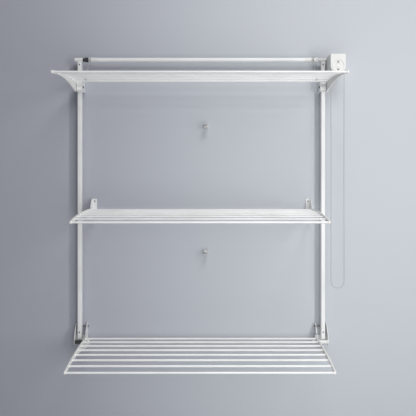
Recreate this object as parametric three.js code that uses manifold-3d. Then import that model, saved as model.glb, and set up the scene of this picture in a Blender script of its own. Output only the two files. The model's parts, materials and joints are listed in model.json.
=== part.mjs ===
// Wall-mounted clothes drying rack: two posts on the wall, three fold-away
// shelves of eight rods, and a pull-cord winch that raises the top shelf.
// Millimetres. X runs along the wall, +Z is up, the wall is the plane y = 0
// and the rack stands out from it towards -Y, so "depth" below means -y.
// The origin is on the wall, midway between the posts, level with the
// pivots of the lowest shelf.

import * as THREE from 'three';
import { mergeVertices } from 'three/addons/utils/BufferGeometryUtils.js';
import Module from 'manifold-3d';

const wasm = await Module();
wasm.setup();

// ---------------------------------------------------------------------------
// Driving dimensions
// ---------------------------------------------------------------------------

const gap = 0.3;                 // running or assembly clearance between pieces

const postCentre = 582;          // each post's centreline from the middle
const postWidth = 19;
const postDepth = 30;
const postWall = 1.5;
const postBack = 12;             // wall to the back of a post
const postFoot = 12;
const postTop = 1334;

const pivotDepth = 50;           // wall to every shelf pivot
const shelfSpacing = 606;        // from one shelf's pivots to the next
const pivotRadius = 4;

const rodCount = 8;
const rodPitch = 56;
const rodRadius = 4.5;
const rodBore = 3.7;
const rearRodForward = 32;       // rear rod, measured from the pivot
const rearRodUp = 24;
const archDrop = 27.5;           // how far the front rod sits below the rear one
const archPower = 2.4;

const armThickness = 7;
const armAboveRods = 6.5;
const armHubRadius = 20;
const armTipRadius = 6.5;
const socketDepth = 5;           // how far a rod end goes into an arm

const topArmOuter = 600;         // outer face of each shelf's arms
const midArmOuter = 524.5;
const bottomArmOuter = 547.5;
const hubBossLength = 11;
const hubBossRadius = 14;

const rollerDepth = 35;
const rollerHeight = 1345;
const rollerRadius = 10.5;
const rollerBore = 9.2;
const rollerHalf = 525;

const winchCentre = 635;         // the winch's middle, along the wall
const wheelHeight = 1301;
const wheelDepth = 110;
const wheelPitchRadius = 30.5;
const pullCordDiameter = 3;

// ---------------------------------------------------------------------------
// Materials
// ---------------------------------------------------------------------------

function finish(colour, roughness, metalness) {
  return new THREE.MeshStandardMaterial({ color: colour, roughness, metalness });
}

const whiteEnamel = () => finish(0xe9e9e6, 0.42, 0.0);
const armPlastic = () => finish(0xedece8, 0.45, 0.0);
const whitePlastic = () => finish(0xf0f0ee, 0.5, 0.0);
const blackPlastic = () => finish(0x2a2a2e, 0.6, 0.0);
const zincSteel = () => finish(0x9a9ca0, 0.38, 0.9);
const cordWhite = () => finish(0xdcdcd8, 0.8, 0.0);

// ---------------------------------------------------------------------------
// Geometry helpers
// ---------------------------------------------------------------------------

// A closed mesh as a solid that can be cut and joined.
function solidOf(geometry) {
  const bare = geometry.clone();
  bare.deleteAttribute('normal');
  bare.deleteAttribute('uv');
  const merged = mergeVertices(bare, 1e-4);
  return new wasm.Manifold(new wasm.Mesh({
    numProp: 3,
    vertProperties: new Float32Array(merged.attributes.position.array),
    triVerts: new Uint32Array(merged.index.array),
  }));
}

function geometryOf(solid) {
  const mesh = solid.getMesh();
  const geometry = new THREE.BufferGeometry();
  geometry.setAttribute('position', new THREE.BufferAttribute(mesh.vertProperties, 3));
  geometry.setIndex(new THREE.BufferAttribute(mesh.triVerts, 1));
  geometry.computeVertexNormals();
  return geometry;
}

function joined(...geometries) {
  return geometryOf(geometries.map(solidOf).reduce((whole, piece) => whole.add(piece)));
}

function cut(body, ...tools) {
  return geometryOf(tools.map(solidOf).reduce((rest, tool) => rest.subtract(tool), solidOf(body)));
}

function box(x0, x1, depth0, depth1, z0, z1) {
  const geometry = new THREE.BoxGeometry(x1 - x0, depth1 - depth0, z1 - z0);
  return geometry.translate((x0 + x1) / 2, -(depth0 + depth1) / 2, (z0 + z1) / 2);
}

// A closed profile of [x, radius] turned about the X axis.
function turned(profile, segments = 20) {
  const points = profile.map(([x, radius]) => new THREE.Vector2(radius, x));
  const geometry = new THREE.LatheGeometry(points, segments);
  return geometry.rotateZ(-Math.PI / 2);
}

function rodAlongX(radius, x0, x1, segments = 20) {
  return turned([[x0, 0], [x0, radius], [x1, radius], [x1, 0]], segments);
}

function tubeAlongX(radius, bore, x0, x1, segments = 16) {
  return turned([[x0, bore], [x0, radius], [x1, radius], [x1, bore], [x0, bore]], segments);
}

// A side outline drawn as (depth, height), made solid between two x values.
function slabAcross(shape, x0, x1, curveSegments = 8) {
  const geometry = new THREE.ExtrudeGeometry(shape, {
    depth: x1 - x0, bevelEnabled: false, curveSegments,
  });
  const turn = new THREE.Matrix4().makeBasis(
    new THREE.Vector3(0, -1, 0), new THREE.Vector3(0, 0, 1), new THREE.Vector3(-1, 0, 0),
  );
  return geometry.applyMatrix4(turn).translate(x1, 0, 0);
}

// A front outline drawn as (x, height), made solid between two depths.
function slabOutwards(shape, depth0, depth1, curveSegments = 14) {
  const geometry = new THREE.ExtrudeGeometry(shape, {
    depth: depth1 - depth0, bevelEnabled: false, curveSegments,
  });
  const turn = new THREE.Matrix4().makeBasis(
    new THREE.Vector3(1, 0, 0), new THREE.Vector3(0, 0, 1), new THREE.Vector3(0, -1, 0),
  );
  return geometry.applyMatrix4(turn).translate(0, -depth0, 0);
}

function polygon(points) {
  return new THREE.Shape(points.map(([a, b]) => new THREE.Vector2(a, b)));
}

function named(name, geometry, material) {
  const mesh = new THREE.Mesh(geometry, material);
  mesh.name = name;
  return mesh;
}

// The x interval between two distances from the middle, on one side.
function span(side, inner, outer) {
  return side < 0 ? [-outer, -inner] : [inner, outer];
}

const sides = [['left', -1], ['right', 1]];

// ---------------------------------------------------------------------------
// Posts
// ---------------------------------------------------------------------------

// A rectangular tube, open at both ends.
function postTube() {
  const outer = box(-postWidth / 2, postWidth / 2, postBack, postBack + postDepth, postFoot, postTop);
  const inner = box(
    -postWidth / 2 + postWall, postWidth / 2 - postWall,
    postBack + postWall, postBack + postDepth - postWall,
    postFoot - 1, postTop + 1,
  );
  return cut(outer, inner);
}

function posts() {
  const group = new THREE.Group();
  for (const [label, side] of sides) {
    const post = named(`${label}_post`, postTube(), whiteEnamel());
    post.position.x = side * postCentre;
    group.add(post);
  }
  return group;
}

// ---------------------------------------------------------------------------
// Shelves
// ---------------------------------------------------------------------------

const rodRun = rodPitch * (rodCount - 1);

// Height of the gently arched line of rods above the pivot.
function archHeight(forward) {
  const along = Math.max(0, (forward - rearRodForward) / rodRun);
  return rearRodUp - archDrop * along ** archPower;
}

// The arm is shallow at its tip and deepens towards its hub.
function armDepthAt(fromTip) {
  const straightTip = 60;
  const tipDepth = 13;
  const growth = 40.5;
  const run = 356;
  return tipDepth + growth * (Math.max(0, fromTip - straightTip) / run) ** 1.7;
}

function armOutline() {
  const shoulder = 6;
  const backCorner = 14;
  const hubFront = 18;
  const tipForward = rearRodForward + rodRun;
  const tipEnd = tipForward + armTipRadius;
  const steps = 8;
  const shape = new THREE.Shape();
  shape.moveTo(-shoulder, archHeight(0) + armAboveRods);
  shape.lineTo(rearRodForward, archHeight(0) + armAboveRods);
  for (let i = 1; i <= steps; i += 1) {
    const forward = rearRodForward + (rodRun * i) / steps;
    shape.lineTo(forward, archHeight(forward) + armAboveRods);
  }
  const tipUp = archHeight(tipForward) + armAboveRods - armTipRadius;
  shape.absarc(tipForward, tipUp, armTipRadius, Math.PI / 2, -Math.PI / 2, true);
  for (let i = 1; i <= steps; i += 1) {
    const forward = tipForward - ((tipForward - hubFront) * i) / steps;
    const top = archHeight(forward) + armAboveRods;
    shape.lineTo(forward, top - armDepthAt(tipEnd - forward));
  }
  shape.absarc(0, 0, armHubRadius, -Math.PI / 3, -Math.PI, true);
  shape.lineTo(-armHubRadius, backCorner);
  shape.lineTo(-shoulder, archHeight(0) + armAboveRods);
  return shape;
}

// One arm, with a blind socket for each rod and a bore for the pivot pin.
// A boss on the inner face makes the pivot wide where there is room for it.
function arm(side, outer, withBoss) {
  const inner = outer - armThickness;
  const [x0, x1] = span(side, inner, outer);
  let body = slabAcross(armOutline(), x0, x1, 6);
  let boreInner = inner - 1;
  if (withBoss) {
    const [b0, b1] = span(side, inner - hubBossLength, inner + 1);
    body = joined(body, rodAlongX(hubBossRadius, b0, b1, 16));
    boreInner = inner - hubBossLength - 1;
  }
  const [p0, p1] = span(side, boreInner, outer + 1);
  const tools = [rodAlongX(pivotRadius + gap, p0, p1, 12)];
  for (let i = 0; i < rodCount; i += 1) {
    const forward = rearRodForward + rodPitch * i;
    const [s0, s1] = span(side, inner - 1, inner + socketDepth);
    const socket = rodAlongX(rodRadius + 2 * gap, s0, s1, 10);
    tools.push(socket.translate(0, -forward, archHeight(forward)));
  }
  return cut(body, ...tools);
}

function shelf(label, pivotHeight, armOuter, withBoss) {
  const group = new THREE.Group();
  group.position.set(0, -pivotDepth, pivotHeight);
  for (const [sideName, side] of sides) {
    group.add(named(`${label}_shelf_${sideName}_arm`, arm(side, armOuter, withBoss), armPlastic()));
  }
  const halfRod = armOuter - armThickness + socketDepth - gap;
  for (let i = 0; i < rodCount; i += 1) {
    const forward = rearRodForward + rodPitch * i;
    const tube = tubeAlongX(rodRadius, rodBore, -halfRod, halfRod, 12);
    const rod = named(`${label}_shelf_rod_${i + 1}`, tube, whiteEnamel());
    rod.position.set(0, -forward, archHeight(forward));
    group.add(rod);
  }
  return group;
}

// ---------------------------------------------------------------------------
// Brackets and pivot pins
// ---------------------------------------------------------------------------

const bracketSheet = 2.5;
const flangeInner = 549.5;       // bottom bracket's inner flange, inner face
const flangeOuter = 604;         // bottom bracket's outer flange, outer face
const bracketFoot = -16;
const bracketHead = 82;
const flangeReach = 62;          // how far a flange stands out at the pivot
const flangeCorner = 12;
const packerHalf = 8;
const backPlateHead = 20;
const midFlangeInner = midArmOuter + 1.7;
const midBracketHead = 74;
const wallPlateFoot = 16;
const wallPlateWidth = 21;
const pivotBlockFoot = 22;       // below its pivot
const pivotBlockHead = 34;       // above its pivot
const pivotBlockCorner = 14;
const pivotBlockChamfer = 12;
const cheekWidth = 9;
const topPinStart = 6.5;         // blind end of a top pin, from its post's inner side
const pinHeadLength = 3;
const pinHeadRadius = 7;
const axleSleeveRadius = 9;

// Gusset flange: full depth round the pivot, drawn in along a hollow curve
// to a narrow strip at its head.
function gussetOutline(pivotHeight, head) {
  const shape = new THREE.Shape();
  const foot = pivotHeight + bracketFoot;
  const cornerStart = flangeReach - flangeCorner;
  shape.moveTo(0, foot);
  shape.lineTo(cornerStart, foot);
  shape.absarc(cornerStart, foot + flangeCorner, flangeCorner, -Math.PI / 2, 0, false);
  shape.quadraticCurveTo(flangeReach - 4, pivotHeight + 40, 14, pivotHeight + head);
  shape.lineTo(0, pivotHeight + head);
  return shape;
}

// Channel bracket that takes the foot of a post between its two flanges. A
// packer behind the post carries it clear of the wall.
function bottomBracket(side) {
  const [a0, a1] = span(side, flangeInner, flangeInner + bracketSheet);
  const [b0, b1] = span(side, flangeOuter - bracketSheet, flangeOuter);
  const [w0, w1] = span(side, flangeInner, flangeOuter);
  const [p0, p1] = span(side, postCentre - packerHalf, postCentre + packerHalf);
  const outline = gussetOutline(0, bracketHead);
  const body = joined(
    slabAcross(outline, a0, a1),
    slabAcross(outline, b0, b1),
    box(w0, w1, 0, bracketSheet, bracketFoot, backPlateHead),
    box(p0, p1, 0, postBack - gap, postFoot, bracketHead - 6),
  );
  const [h0, h1] = span(side, flangeInner - 1, flangeOuter + 1);
  const hole = rodAlongX(pivotRadius + gap, h0, h1, 12).translate(0, -pivotDepth, 0);
  return cut(body, hole);
}

// Angle bracket screwed to the wall on its own, for the middle shelf.
function midBracket(side) {
  const webOuter = midFlangeInner + bracketSheet;
  const [a0, a1] = span(side, midFlangeInner, webOuter);
  const [w0, w1] = span(side, midFlangeInner - wallPlateWidth, webOuter);
  const body = joined(
    slabAcross(gussetOutline(shelfSpacing, midBracketHead), a0, a1),
    box(w0, w1, 0, bracketSheet, shelfSpacing + wallPlateFoot, shelfSpacing + midBracketHead),
  );
  const [h0, h1] = span(side, midFlangeInner - 1, webOuter + 1);
  const hole = rodAlongX(pivotRadius + gap, h0, h1, 12);
  return cut(body, hole.translate(0, -pivotDepth, shelfSpacing));
}

// Pivot block of the top shelf: it stands in front of the post and has a
// cheek that runs back past the post's inner side to the wall.
function topBracket(side) {
  const pivotHeight = 2 * shelfSpacing;
  const postInner = postCentre - postWidth / 2;
  const postOuter = postCentre + postWidth / 2;
  const foot = pivotHeight - pivotBlockFoot;
  const head = pivotHeight + pivotBlockHead;
  const face = pivotDepth + pivotBlockCorner;
  const front = new THREE.Shape();
  front.moveTo(0, foot);
  front.lineTo(pivotDepth, foot);
  front.absarc(pivotDepth, foot + pivotBlockCorner, pivotBlockCorner, -Math.PI / 2, 0, false);
  front.lineTo(face, head - pivotBlockChamfer);
  front.lineTo(face - pivotBlockChamfer, head);
  front.lineTo(0, head);
  const [c0, c1] = span(side, postInner - cheekWidth, postInner - gap);
  const [f0, f1] = span(side, postInner - cheekWidth, postOuter - gap);
  const [r0, r1] = span(side, postInner - gap - 0.01, postOuter + 1);
  const body = joined(slabAcross(front, c0, c1), slabAcross(front, f0, f1));
  const recess = box(r0, r1, -1, postBack + postDepth + gap, foot - 1, head + 1);
  const [h0, h1] = span(side, postInner + topPinStart - gap, postOuter + 1);
  const hole = rodAlongX(pivotRadius + gap, h0, h1, 12).translate(0, -pivotDepth, pivotHeight);
  return cut(body, recess, hole);
}

// A pin with a round head at its outer end and a clinched one at its inner
// end, where that end is in the open.
function pivotPin(side, inner, outer, innerHead) {
  const start = innerHead ? inner - pinHeadLength : inner;
  const [x0, x1] = span(side, start, outer + pinHeadLength);
  const [h0, h1] = span(side, outer, outer + pinHeadLength);
  const pieces = [rodAlongX(pivotRadius, x0, x1, 12), rodAlongX(pinHeadRadius, h0, h1, 12)];
  if (innerHead) {
    const [i0, i1] = span(side, inner - pinHeadLength, inner);
    pieces.push(rodAlongX(pinHeadRadius, i0, i1, 12));
  }
  return pieces;
}

function brackets() {
  const group = new THREE.Group();
  for (const [label, side] of sides) {
    group.add(named(`${label}_bottom_bracket`, bottomBracket(side), whiteEnamel()));
    group.add(named(`${label}_mid_bracket`, midBracket(side), whiteEnamel()));
    group.add(named(`${label}_top_bracket`, topBracket(side), whiteEnamel()));
  }
  return group;
}

function pivotPins() {
  const group = new THREE.Group();
  const bossed = armThickness + hubBossLength + gap;
  for (const [label, side] of sides) {
    const [s0, s1] = span(side, flangeInner + bracketSheet + gap, flangeOuter - bracketSheet - gap);
    const sleeve = rodAlongX(axleSleeveRadius, s0, s1, 16);
    const foot = pivotPin(side, bottomArmOuter - bossed, flangeOuter + gap, true);
    const material = side < 0 ? blackPlastic() : whitePlastic();
    const bottom = named(`${label}_bottom_pivot_axle`, joined(...foot, sleeve), material);
    bottom.position.set(0, -pivotDepth, 0);

    const midEnd = midFlangeInner + bracketSheet + gap;
    const mid = named(
      `${label}_mid_pivot_pin`,
      joined(...pivotPin(side, midArmOuter - bossed, midEnd, true)),
      zincSteel(),
    );
    mid.position.set(0, -pivotDepth, shelfSpacing);

    const top = named(
      `${label}_top_pivot_pin`,
      joined(...pivotPin(side, postCentre - postWidth / 2 + topPinStart, topArmOuter + gap, false)),
      zincSteel(),
    );
    top.position.set(0, -pivotDepth, 2 * shelfSpacing);
    group.add(bottom, mid, top);
  }
  return group;
}

// ---------------------------------------------------------------------------
// Roller across the top, with its bearings and lifting cords
// ---------------------------------------------------------------------------

const drumHub = 9;
const drumFlange = 13.5;
const drumFlangeWidth = 2;
const drumPlug = 25;             // length pushed into the roller tube
const drumStart = rollerHalf + gap;
const drumEnd = drumStart + 12;
const leftStubEnd = 562;
const stubRadius = 5;
const shaftRadius = 5;
const couplingCentre = 549;
const couplingRadius = 10;

// A cord drum that plugs into one end of the roller tube and runs on a stub.
function liftDrum(side, stubEnd) {
  const profile = [
    [drumStart - drumPlug, 0], [drumStart - drumPlug, rollerBore - gap],
    [drumStart, rollerBore - gap], [drumStart, drumFlange],
    [drumStart + drumFlangeWidth, drumFlange], [drumStart + drumFlangeWidth, drumHub],
    [drumEnd - drumFlangeWidth, drumHub], [drumEnd - drumFlangeWidth, drumFlange],
    [drumEnd, drumFlange],
    [drumEnd, stubRadius], [stubEnd, stubRadius], [stubEnd, 0],
  ];
  const geometry = turned(profile, 14);
  return side < 0 ? geometry.rotateZ(Math.PI) : geometry;
}

function rollerGroup() {
  const group = new THREE.Group();
  group.position.set(0, -rollerDepth, rollerHeight);
  const tube = tubeAlongX(rollerRadius, rollerBore, -rollerHalf, rollerHalf, 18);
  group.add(named('roller_tube', tube, whiteEnamel()));
  group.add(named('left_lift_drum', liftDrum(-1, leftStubEnd), whitePlastic()));
  const rightStubEnd = couplingCentre - couplingRadius - gap;
  group.add(named('right_lift_drum', liftDrum(1, rightStubEnd), whitePlastic()));
  group.add(named('winch_drive_shaft', driveShaft(), whitePlastic()));
  return group;
}

const headPlugLength = 24;
const headCapTop = postTop + 3.6;
const idlerSpigot = 6.5;
const idlerBore = stubRadius + gap;

// Post head: a plug in the post's open top, a cap, and a cross sleeve.
function postHead(side, sleeveRadius, boreRadius, inner, outer) {
  const half = postWidth / 2 - postWall - gap;
  const [x0, x1] = span(side, postCentre - half, postCentre + half);
  const [c0, c1] = span(side, postCentre - postWidth / 2, postCentre + postWidth / 2);
  const [s0, s1] = span(side, inner, outer);
  const middle = postBack + postDepth / 2;
  const halfDepth = postDepth / 2 - postWall - gap;
  const saddleTop = rollerHeight - sleeveRadius / 2;
  const [b0, b1] = span(side, inner - 1, outer + 1);
  const sleeve = rodAlongX(sleeveRadius, s0, s1, 20).translate(0, -rollerDepth, rollerHeight);
  const bore = rodAlongX(boreRadius, b0, b1, 16).translate(0, -rollerDepth, rollerHeight);
  const body = joined(
    box(x0, x1, middle - halfDepth, middle + halfDepth, postTop - headPlugLength, postTop + 1),
    box(c0, c1, postBack, postBack + postDepth, postTop + gap, headCapTop),
    box(c0 + 1, c1 - 1, rollerDepth - 7, rollerDepth + 5, postTop + 1, saddleTop),
    sleeve,
  );
  return cut(body, bore);
}

// Tapered black bush between the left post head and the left drum.
function idlerBush() {
  const profile = [
    [538.5, idlerBore], [538.5, 8], [544, 11.5], [550, 11.5], [566.5, 7.5],
    [566.5, idlerSpigot], [590, idlerSpigot], [590, idlerBore], [538.5, idlerBore],
  ];
  return turned(profile, 16).rotateZ(Math.PI).translate(0, -rollerDepth, rollerHeight);
}

function rollerMounts() {
  const group = new THREE.Group();
  group.add(named('left_post_head', postHead(-1, 10.5, idlerSpigot + gap, 567, 605), whitePlastic()));
  group.add(named('right_post_head', postHead(1, 8, shaftRadius + gap, 560, 597), whitePlastic()));
  group.add(named('left_idler_bush', idlerBush(), blackPlastic()));
  return group;
}

const liftCordDiameter = 2.5;
const liftCordX = drumStart + 6;

// The taut cord from the front of a drum down to the second rod.
function liftingCord(side) {
  const clear = liftCordDiameter / 2 + gap;
  const forward = rearRodForward + rodPitch;
  const fromDepth = rollerDepth + drumHub + clear;
  const rodDepth = pivotDepth + forward;
  const rodHeight = 2 * shelfSpacing + archHeight(forward);
  const path = new THREE.LineCurve3(
    new THREE.Vector3(side * liftCordX, -fromDepth, rollerHeight),
    new THREE.Vector3(side * liftCordX, -(rodDepth - 1), rodHeight + rodRadius + clear),
  );
  return cordAlong(path, liftCordDiameter / 2, 4);
}

function cordAlong(path, radius, steps) {
  const section = new THREE.Shape();
  section.absarc(0, 0, radius, 0, 2 * Math.PI, false);
  return new THREE.ExtrudeGeometry(section, { steps, curveSegments: 4, extrudePath: path });
}

function liftingCords() {
  const group = new THREE.Group();
  for (const [label, side] of sides) {
    group.add(named(`${label}_lifting_cord`, liftingCord(side), cordWhite()));
  }
  return group;
}

// ---------------------------------------------------------------------------
// Winch
// ---------------------------------------------------------------------------

const spurRadius = 8.3;
const spurStart = 607;
const spurEnd = 617;
const counterHeight = 1328;      // countershaft, below the drive shaft
const wormWheelRadius = 11.5;
const wormWheelHalf = 6;
const wormRadius = 15;
const spurTeeth = 10;
const spurTooth = 1.6;
const wormWheelTeeth = 12;
const wormWheelTooth = 2;
const collarRadius = 7;
const couplingLength = 20;
const counterShaftRadius = 3.5;
const wheelShaftRadius = 5;
const coverThickness = 4;
const housingHalf = 36;
const housingWall = 2;
const housingBack = 3;
const housingFront = 121;
const housingTop = 1356;

function gearOutline(radius, teeth, toothHeight) {
  const points = [];
  const pitch = (2 * Math.PI) / teeth;
  for (let i = 0; i < teeth; i += 1) {
    for (const [part, drop] of [[0, toothHeight], [0.25, 0], [0.5, 0], [0.75, toothHeight]]) {
      const angle = pitch * (i + part);
      points.push([(radius - drop) * Math.cos(angle), (radius - drop) * Math.sin(angle)]);
    }
  }
  return polygon(points);
}

// Shaft from the roller's coupling, through the right post head, to the
// spur gear inside the winch case.
function driveShaft() {
  const start = couplingCentre - couplingRadius;
  return joined(
    rodAlongX(shaftRadius, couplingCentre, spurStart + 1, 16),
    rodAlongX(collarRadius, start, couplingCentre + 8, 16),
    new THREE.CylinderGeometry(couplingRadius, couplingRadius, couplingLength, 20)
      .translate(couplingCentre, 0, 0),
    slabAcross(gearOutline(spurRadius, spurTeeth, spurTooth), spurStart, spurEnd),
  );
}

// Countershaft with the second spur gear and the worm wheel.
function countershaft() {
  const half = housingHalf - housingWall - gap;
  return joined(
    rodAlongX(counterShaftRadius, winchCentre - half, winchCentre + half, 12),
    slabAcross(gearOutline(spurRadius, spurTeeth, spurTooth), spurStart, spurEnd),
    slabAcross(
      gearOutline(wormWheelRadius, wormWheelTeeth, wormWheelTooth),
      winchCentre - wormWheelHalf, winchCentre + wormWheelHalf,
    ),
  );
}

// Flat top, straight sides and a half-round foot.
function caseOutline(half, top) {
  const shape = new THREE.Shape();
  shape.moveTo(winchCentre - half, top);
  shape.lineTo(winchCentre - half, wheelHeight);
  shape.absarc(winchCentre, wheelHeight, half, Math.PI, 2 * Math.PI, false);
  shape.lineTo(winchCentre + half, top);
  return shape;
}

function winchHousing() {
  const outer = slabOutwards(caseOutline(housingHalf, housingTop), housingBack, housingFront);
  const cavity = slabOutwards(
    caseOutline(housingHalf - housingWall, housingTop - housingWall),
    housingBack + 2 * housingWall, housingFront + 1,
  );
  const shaftHole = rodAlongX(shaftRadius + 1, winchCentre - housingHalf - 1, winchCentre, 16)
    .translate(0, -rollerDepth, rollerHeight);
  const slotHalf = 4;
  const cordSlots = [-1, 1].map((side) => {
    const middle = winchCentre + side * wheelPitchRadius;
    return box(
      middle - slotHalf, middle + slotHalf, wheelDepth - slotHalf, wheelDepth + slotHalf,
      wheelHeight - housingHalf - 1, wheelHeight - slotHalf,
    );
  });
  return cut(outer, cavity, shaftHole, ...cordSlots);
}

function winchCover() {
  const outline = caseOutline(housingHalf - 1, housingTop);
  return slabOutwards(outline, housingFront + gap, housingFront + coverThickness);
}

// The grooved wheel that the pull cord turns, moulded in one with its worm.
function cordWheel() {
  const flange = 33;
  const groove = 26;
  const profile = [
    [8, 0], [8, wheelShaftRadius], [14, wheelShaftRadius], [18, wormRadius],
    [52, wormRadius], [56, wheelShaftRadius],
    [wheelDepth - 6, wheelShaftRadius], [wheelDepth - 6, flange], [wheelDepth - 3.5, flange],
    [wheelDepth - 2, groove], [wheelDepth + 2, groove], [wheelDepth + 3.5, flange],
    [wheelDepth + 6, flange], [wheelDepth + 6, wheelShaftRadius],
    [wheelDepth + 9, wheelShaftRadius], [wheelDepth + 9, 0],
  ];
  return turned(profile, 20).rotateZ(-Math.PI / 2);
}

function winch() {
  const group = new THREE.Group();
  group.add(named('winch_housing', winchHousing(), whitePlastic()));
  group.add(named('winch_cover', winchCover(), whitePlastic()));
  const wheel = named('winch_cord_wheel', cordWheel(), whitePlastic());
  wheel.position.set(winchCentre, 0, wheelHeight);
  const counter = named('winch_countershaft', countershaft(), whitePlastic());
  counter.position.set(0, -rollerDepth, counterHeight);
  group.add(wheel, counter);
  return group;
}

// The endless pull cord: over the wheel, down, round a bend and back up. Each
// point is [right, up] from the wheel's centre.
const pullLoopPoints = [
  [-1, 30.5], [-11.7, 28.2], [-21.6, 21.6], [-28.2, 11.7], [-30.5, 0],
  [-30.5, -60], [-30.4, -250], [-30.1, -450], [-30.2, -650], [-30.5, -850], [-30.5, -980],
  [-30.3, -1002], [-27.9, -1014.5], [-21.2, -1024.4], [-11.4, -1030.5],
  [0, -1032.5],
  [11.4, -1030.5], [21.2, -1024.4], [27.9, -1014.5], [30.3, -1002],
  [30.5, -980], [30.5, -850], [30.2, -650], [30.1, -450], [30.4, -250], [30.5, -60],
  [30.5, 0], [28.2, 11.7], [21.6, 21.6], [11.7, 28.2], [1, 30.5],
];

function pullCord() {
  const path = new THREE.CatmullRomCurve3(pullLoopPoints.map(([right, up]) => (
    new THREE.Vector3(winchCentre + right, -wheelDepth, wheelHeight + up)
  )), false, 'centripetal');
  return cordAlong(path, pullCordDiameter / 2, 84);
}

// ---------------------------------------------------------------------------
// Wall hooks that catch the front rod of a folded-up shelf
// ---------------------------------------------------------------------------

const hookCentre = 22;
const hookWidth = 20;
const hookHalfHeight = 9;
const hookPlate = 4;
const hookMouth = rodRadius + 0.5;

// A clip open to the front: a wall plate and two jaws either side of the rod.
function wallHook(pivotHeight) {
  const height = pivotHeight + rearRodForward + rodRun;
  const rodDepth = pivotDepth - archHeight(rearRodForward + rodRun);
  const reach = rodDepth + 5;
  const tipHalf = hookHalfHeight - 2;
  const outline = polygon([
    [0, height - hookHalfHeight], [reach, height - tipHalf], [reach, height - hookMouth],
    [hookPlate, height - hookMouth], [hookPlate, height + hookMouth],
    [reach, height + hookMouth], [reach, height + tipHalf], [0, height + hookHalfHeight],
  ]);
  return slabAcross(outline, hookCentre - hookWidth / 2, hookCentre + hookWidth / 2);
}

function wallHooks() {
  const group = new THREE.Group();
  group.add(named('bottom_shelf_wall_hook', wallHook(0), whitePlastic()));
  group.add(named('mid_shelf_wall_hook', wallHook(shelfSpacing), whitePlastic()));
  return group;
}

// ---------------------------------------------------------------------------
// Assembly
// ---------------------------------------------------------------------------

const rack = new THREE.Group();
rack.add(posts(), brackets(), pivotPins());
rack.add(shelf('top', 2 * shelfSpacing, topArmOuter, false));
rack.add(shelf('mid', shelfSpacing, midArmOuter, true));
rack.add(shelf('bottom', 0, bottomArmOuter, true));
rack.add(rollerGroup(), rollerMounts(), liftingCords());
rack.add(winch(), wallHooks());
rack.add(named('pull_cord', pullCord(), cordWhite()));

export default rack;
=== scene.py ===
# %% [markdown]
# # A wall-mounted drying rack
#
# This script dresses a finished mechanical model. The model comes in as a
# fixed frame: every node has its real place, in metres, with the wall at
# y = 0, the front of the rack towards -Y and +Z up. Nothing here moves a
# part. Plain CAD solids are swapped for meshes with rounded edges, rims,
# collars and screws, and everything gets a finish made from shader nodes.

import json
import math

import bmesh
import bpy
from mathutils import Matrix, Vector


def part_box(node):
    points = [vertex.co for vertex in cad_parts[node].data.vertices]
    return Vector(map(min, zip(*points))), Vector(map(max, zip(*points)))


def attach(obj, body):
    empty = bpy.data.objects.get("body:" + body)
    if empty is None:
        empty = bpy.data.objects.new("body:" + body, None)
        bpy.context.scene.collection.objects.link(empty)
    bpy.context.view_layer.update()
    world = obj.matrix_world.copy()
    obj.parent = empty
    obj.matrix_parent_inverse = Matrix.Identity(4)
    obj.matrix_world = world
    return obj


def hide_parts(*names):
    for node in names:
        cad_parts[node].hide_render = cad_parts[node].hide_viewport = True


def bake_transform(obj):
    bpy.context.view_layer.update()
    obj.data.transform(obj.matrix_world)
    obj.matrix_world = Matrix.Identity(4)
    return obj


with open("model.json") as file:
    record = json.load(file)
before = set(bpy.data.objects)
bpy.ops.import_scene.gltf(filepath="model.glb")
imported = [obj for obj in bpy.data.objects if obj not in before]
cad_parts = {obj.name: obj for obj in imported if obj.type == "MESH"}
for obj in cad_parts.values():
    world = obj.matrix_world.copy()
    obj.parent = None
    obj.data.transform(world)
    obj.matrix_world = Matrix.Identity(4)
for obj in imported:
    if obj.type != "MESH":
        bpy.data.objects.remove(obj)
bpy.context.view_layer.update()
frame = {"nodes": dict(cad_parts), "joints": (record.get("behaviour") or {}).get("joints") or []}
nodes = frame["nodes"]
MM = 0.001
GAP = 0.3 * MM

# %% [markdown]
# ## Reading places from the frame
#
# A joint's point is the centre of a pivot, and a rod's box is centred on the
# rod, so most numbers that the pieces share are measured here. GAP is the
# clearance left between pieces that are fitted together.

# %% Pivots, rods and sides
pivots = {j["child"]: Vector(j["pos_m"]) for j in frame["joints"]}
SHELVES = ("top", "mid", "bottom")
SIDES = {"left": -1, "right": 1}
ROD_COUNT = 8


def centre(node):
    low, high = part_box(node)
    return (low + high) / 2


def inner_and_outer(node, sign):
    """A node's two ends along X, the one nearer the rack's middle first."""
    low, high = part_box(node)
    return (low.x, high.x) if sign > 0 else (high.x, low.x)


def rod_centres(shelf):
    return [centre(f"{shelf}_shelf_rod_{i + 1}") for i in range(ROD_COUNT)]


for shelf in SHELVES:
    rear, front = rod_centres(shelf)[0], rod_centres(shelf)[-1]
    print(shelf, "rods run and fall, metres:", round(rear.y - front.y, 3), round(rear.z - front.z, 4))

# %% [markdown]
# ## Camera
#
# The rack is seen straight on, from a little to the right of its middle. A
# camera that stays level keeps the posts upright and parallel, so the
# picture is lowered with a lens shift and the camera isn't tilted.

# %% Camera
CAMERA_HEIGHT = 0.785
CAMERA_RIGHT = 0.032
CAMERA_AWAY = 2.80

camera_data = bpy.data.cameras.new("camera")
camera_data.lens = 50
camera_data.sensor_width = 36
camera_data.shift_y = -0.0745
camera_data.clip_start = 0.05
camera_data.clip_end = 50
camera = bpy.data.objects.new("camera", camera_data)
camera.location = (CAMERA_RIGHT, -CAMERA_AWAY, CAMERA_HEIGHT)
camera.rotation_euler = (math.radians(90), 0, 0)
bpy.context.scene.collection.objects.link(camera)
bpy.context.scene.camera = camera
print("camera", tuple(camera.location), "lens", camera_data.lens, "mm")

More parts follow.
